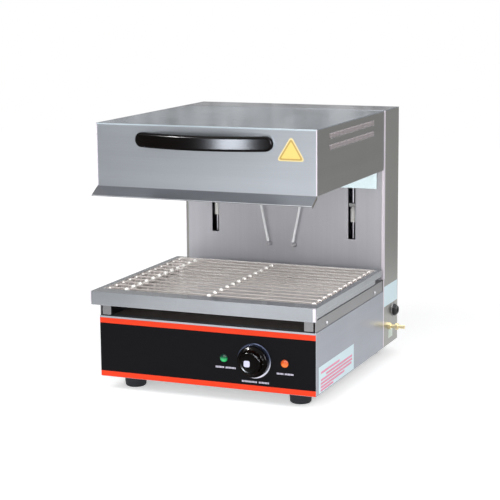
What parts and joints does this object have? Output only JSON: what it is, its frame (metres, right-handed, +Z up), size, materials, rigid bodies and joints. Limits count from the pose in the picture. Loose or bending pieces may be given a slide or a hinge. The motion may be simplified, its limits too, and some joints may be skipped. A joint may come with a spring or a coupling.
{
  "type": "cheese melter",
  "caption": "Counter-top electric grill with a heated hood that slides up and down on a rear column over a wire rack in a pull-out drip tray.",
  "frame": {"origin": "on the counter, under the centre of the front left foot", "axes": "+X to the right as seen from the front, +Y to the back, +Z up; the hood is at the top of its travel"},
  "size_m": [0.4935, 0.5402, 0.525],
  "materials": {
    "sheet_steel": "satin",
    "zinc_steel": "matte",
    "dark_steel": "satin",
    "tray_steel": "satin",
    "chromed_wire": "polished",
    "polished_rod": "polished",
    "screw_steel": "satin",
    "reflector_sheet": "polished",
    "element_sheath": "matte",
    "mineral_wool": "matte",
    "ceramic": "matte",
    "black_gloss": "gloss",
    "black_moulding": "matte",
    "foot_rubber": "matte",
    "panel_black": "satin",
    "stripe_red": "satin",
    "bezel_bright": "satin",
    "pointer_white": "satin",
    "nylon_white": "satin",
    "green_lens": "gloss",
    "orange_lens": "gloss",
    "glass_sleeve": "matte",
    "brass": "satin"
  },
  "bodies": {
    "base": {"left_base_side": "sheet_steel", "right_base_side": "sheet_steel", "left_tray_rail": "sheet_steel", "right_tray_rail": "sheet_steel", "front_panel": "sheet_steel", "column_front": "sheet_steel", "column_left_side": "sheet_steel", "column_right_side": "sheet_steel", "column_top": "sheet_steel", "rear_cover": "sheet_steel", "deck_plate": "zinc_steel", "base_floor": "zinc_steel", "rod_brackets": "zinc_steel", "strut_cylinders": "dark_steel", "left_guide_rod": "polished_rod", "right_guide_rod": "polished_rod", "foot_screws": "screw_steel", "rail_screws": "screw_steel", "cover_screws": "screw_steel", "energy_regulator": "black_moulding", "cable_gland": "black_moulding", "rubber_feet": "foot_rubber", "panel_film": "panel_black", "panel_stripes": "stripe_red", "dial_bezel": "bezel_bright", "column_lead_bushes": "nylon_white", "lamp_bodies": "nylon_white", "terminal_block": "nylon_white", "green_lamp_lens": "green_lens", "orange_lamp_lens": "orange_lens", "supply_leads": "glass_sleeve", "bonding_stud": "brass", "bonding_nuts": "brass"},
    "hood": {"hood_top": "sheet_steel", "hood_front": "sheet_steel", "left_hood_side": "sheet_steel", "right_hood_side": "sheet_steel", "hood_rear": "sheet_steel", "hood_apron": "sheet_steel", "reflector": "reflector_sheet", "insulation": "mineral_wool", "front_element": "element_sheath", "middle_element": "element_sheath", "rear_element": "element_sheath", "element_hangers": "zinc_steel", "element_terminals": "ceramic", "handle": "black_gloss", "handle_screws": "screw_steel", "left_hood_arm": "zinc_steel", "right_hood_arm": "zinc_steel", "carriage_bushes": "nylon_white", "crossbar": "zinc_steel", "strut_rods": "polished_rod", "hood_lead_bushes": "nylon_white"},
    "tray": {"drip_tray": "tray_steel"},
    "rack": {"rack_wires": "chromed_wire", "rack_bars": "chromed_wire"},
    "knob": {"control_knob": "black_gloss", "knob_pointer": "pointer_white", "regulator_spindle": "polished_rod"}
  },
  "joints": [
    {"name": "hood_lift", "type": "slide", "parent": "base", "child": "hood", "axis": [0, 0, 1], "range_m": [-0.115, 0], "deforming": ["supply_leads"]},
    {"name": "tray_slide", "type": "slide", "parent": "base", "child": "tray", "axis": [0, -1, 0], "range_m": [0, 0.3]},
    {"name": "rack_lift", "type": "slide", "parent": "tray", "child": "rack", "axis": [0, 0, 1], "range_m": [0, 0.045]},
    {"name": "knob_turn", "type": "hinge", "parent": "base", "child": "knob", "pos_m": [0.276, -0.065, 0.086], "axis": [0, 1, 0], "range_deg": [0, 270]}
  ]
}
